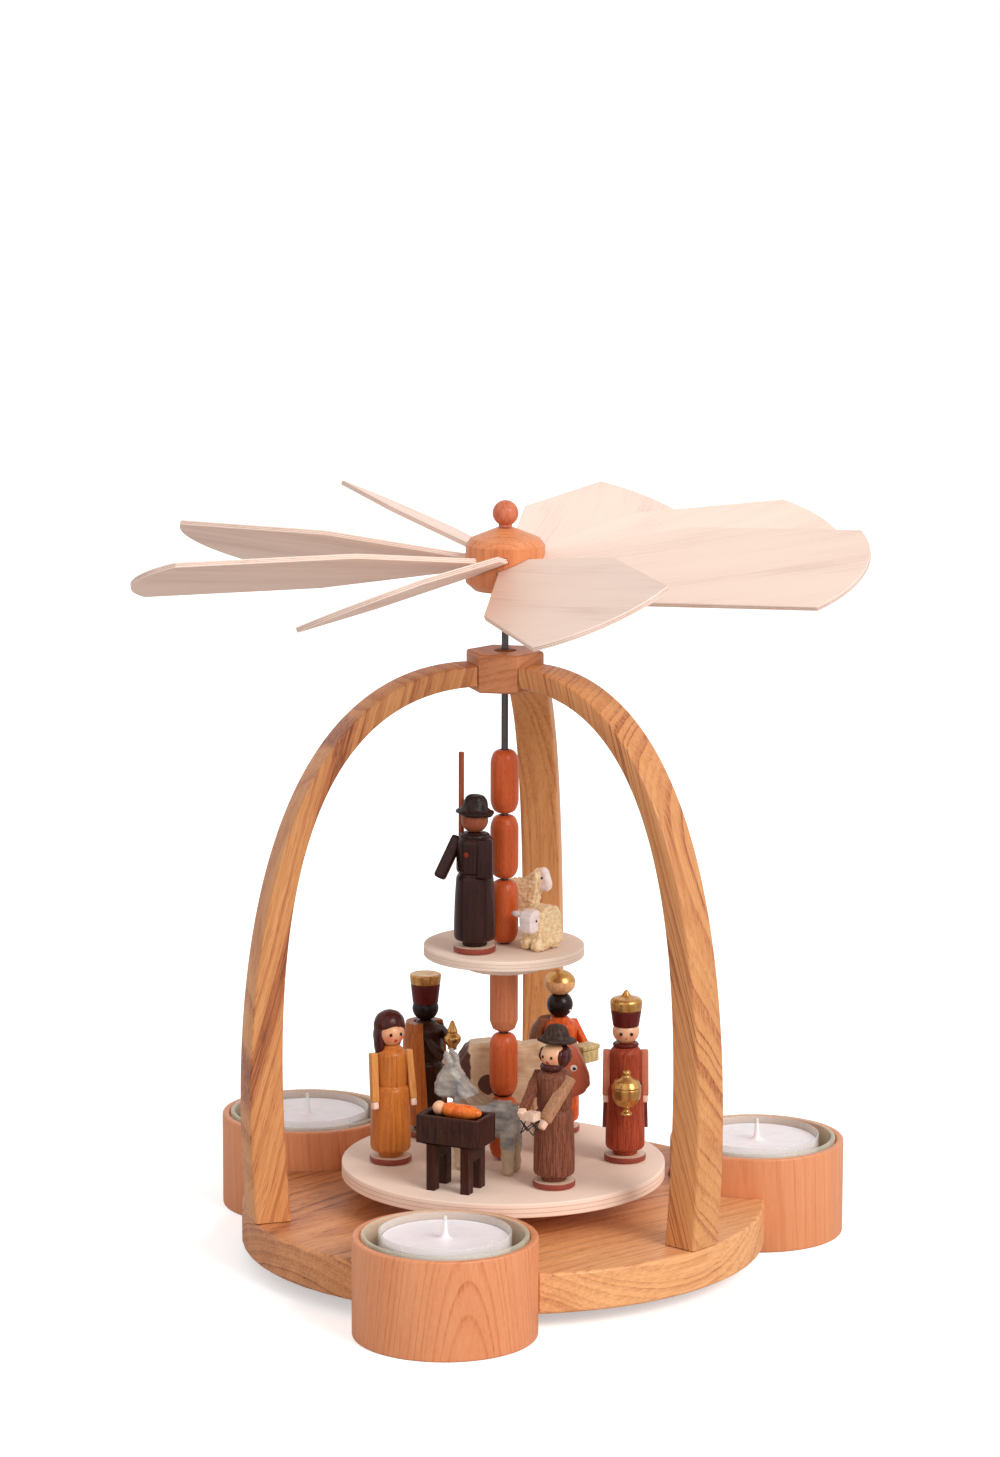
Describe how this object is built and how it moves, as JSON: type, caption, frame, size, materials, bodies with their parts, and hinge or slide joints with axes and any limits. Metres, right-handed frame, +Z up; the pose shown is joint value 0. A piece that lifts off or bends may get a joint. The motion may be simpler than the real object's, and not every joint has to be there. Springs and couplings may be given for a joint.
{
  "type": "candle carousel",
  "caption": "Two-tier wooden candle carousel with tealight holders, bent arches, nativity figures on turning discs and a pitched wing wheel.",
  "frame": {"origin": "on the spindle's axis, level with the table under the holders", "axes": "+Z up along the spindle, -Y towards the front holder"},
  "size_m": [0.2201, 0.2234, 0.2324],
  "materials": {
    "oiled_oak": "oiled, strong grain",
    "cherry": "oiled, fine grain",
    "maple": "bare, sanded",
    "birch_ply": "bare, sanded",
    "red_bead": "stained, satin lacquer",
    "steel": "bright drawn",
    "brass": "turned",
    "glass": "clear",
    "clear_cup": "clear",
    "wax": "satin",
    "ochre_dress": "stained, gloss lacquer",
    "figure_skin": "satin lacquer",
    "dark_brown": "stained, satin lacquer",
    "grey_brown": "stained, satin lacquer",
    "red_brown": "stained, satin lacquer",
    "orange_red": "painted, satin",
    "gold_paint": "gold bronze paint",
    "donkey_grey": "stained, carved",
    "ox_beige": "bare, carved",
    "wool": "bare, carved"
  },
  "bodies": {
    "stand": {"base_board": "oiled_oak", "spindle_bearing": "brass", "arch_right": "oiled_oak", "arch_back": "oiled_oak", "arch_left": "oiled_oak", "arch_block": "oiled_oak", "guide_bush": "brass", "holder_front": "cherry", "holder_right": "cherry", "holder_left": "cherry"},
    "glass_front": {"glass_insert_front": "glass"},
    "tealight_front": {"tealight_cup_front": "clear_cup", "tealight_wax_front": "wax"},
    "glass_right": {"glass_insert_right": "glass"},
    "tealight_right": {"tealight_cup_right": "clear_cup", "tealight_wax_right": "wax"},
    "glass_left": {"glass_insert_left": "glass"},
    "tealight_left": {"tealight_cup_left": "clear_cup", "tealight_wax_left": "wax"},
    "rotor": {"spindle": "steel", "lower_disc": "maple", "lower_collar": "maple", "upper_collar": "maple", "upper_disc": "maple", "mother_body": "ochre_dress", "mother_head": "figure_skin", "father_body": "grey_brown", "father_head": "grey_brown", "king_left_body": "dark_brown", "king_left_head": "dark_brown", "king_right_body": "orange_red", "king_right_head": "gold_paint", "king_front_body": "red_brown", "king_front_head": "red_brown", "shepherd_body": "dark_brown", "shepherd_head": "dark_brown", "manger": "dark_brown", "infant": "orange_red", "ox": "ox_beige", "donkey": "donkey_grey", "sheep_lying": "wool", "sheep_standing": "wool", "lower_bead_1": "red_bead", "lower_bead_2": "red_bead", "lower_bead_3": "red_bead", "upper_bead_1": "red_bead", "upper_bead_2": "red_bead", "upper_bead_3": "red_bead"},
    "wing_wheel": {"hub": "cherry", "knob": "cherry", "blade_1": "birch_ply", "blade_2": "birch_ply", "blade_3": "birch_ply", "blade_4": "birch_ply", "blade_5": "birch_ply", "blade_6": "birch_ply", "blade_7": "birch_ply", "blade_8": "birch_ply"}
  },
  "joints": [
    {"name": "rotor_spin", "type": "hinge", "parent": "stand", "child": "rotor", "pos_m": [0, 0, 0.0128], "axis": [0, 0, 1], "continuous": true},
    {"name": "wing_wheel_lift", "type": "slide", "parent": "rotor", "child": "wing_wheel", "axis": [0, 0, 1], "range_m": [0, 0.03]},
    {"name": "glass_lift_front", "type": "slide", "parent": "stand", "child": "glass_front", "axis": [0, 0, 1], "range_m": [0, 0.04]},
    {"name": "tealight_lift_front", "type": "slide", "parent": "glass_front", "child": "tealight_front", "axis": [0, 0, 1], "range_m": [0, 0.04]},
    {"name": "glass_lift_right", "type": "slide", "parent": "stand", "child": "glass_right", "axis": [0, 0, 1], "range_m": [0, 0.04]},
    {"name": "tealight_lift_right", "type": "slide", "parent": "glass_right", "child": "tealight_right", "axis": [0, 0, 1], "range_m": [0, 0.04]},
    {"name": "glass_lift_left", "type": "slide", "parent": "stand", "child": "glass_left", "axis": [0, 0, 1], "range_m": [0, 0.04]},
    {"name": "tealight_lift_left", "type": "slide", "parent": "glass_left", "child": "tealight_left", "axis": [0, 0, 1], "range_m": [0, 0.04]}
  ]
}
